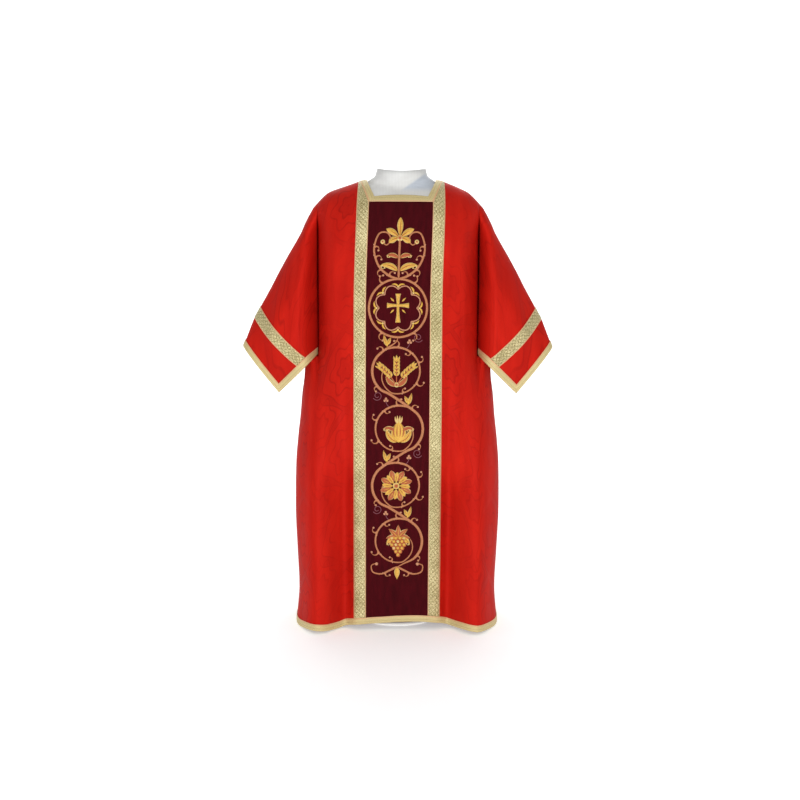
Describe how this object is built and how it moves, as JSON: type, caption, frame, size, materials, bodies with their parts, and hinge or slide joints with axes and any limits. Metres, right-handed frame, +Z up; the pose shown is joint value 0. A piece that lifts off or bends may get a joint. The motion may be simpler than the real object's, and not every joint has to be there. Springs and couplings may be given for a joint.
{
  "type": "dalmatic on a dress form",
  "caption": "Wide-sleeved liturgical dalmatic with a velvet orphrey panel, braid strips and bound edges, worn by a limbless dress form on a low stand.",
  "frame": {"origin": "on the stand's flat underside, straight below the middle of the neck", "axes": "+Z up, the garment's front faces -Y, the wearer's left is +X; the X = 0 plane halves the part"},
  "size_m": [0.862, 0.3381, 1.2585],
  "materials": {
    "red_damask": "satin damask",
    "claret_velvet": "cut velvet",
    "gold_braid": "woven metal-thread braid",
    "white_jersey": "matt jersey",
    "painted_steel": "white powder coat",
    "pole_steel": "brushed"
  },
  "bodies": {
    "root": {"front_panel": "red_damask", "back_panel": "red_damask", "sleeve_left": "red_damask", "sleeve_right": "red_damask", "orphrey_front": "claret_velvet", "orphrey_back": "claret_velvet", "galloon_front_left": "gold_braid", "galloon_front_right": "gold_braid", "galloon_back_left": "gold_braid", "galloon_back_right": "gold_braid", "neck_binding": "gold_braid", "hem_binding": "gold_braid", "sleeve_band_left": "gold_braid", "sleeve_band_right": "gold_braid", "sleeve_binding_left": "gold_braid", "sleeve_binding_right": "gold_braid", "underarm_binding_left": "red_damask", "underarm_binding_right": "red_damask", "form_torso": "white_jersey", "stand_base": "painted_steel", "stand_collar": "painted_steel", "stand_pole": "pole_steel"}
  },
  "joints": []
}
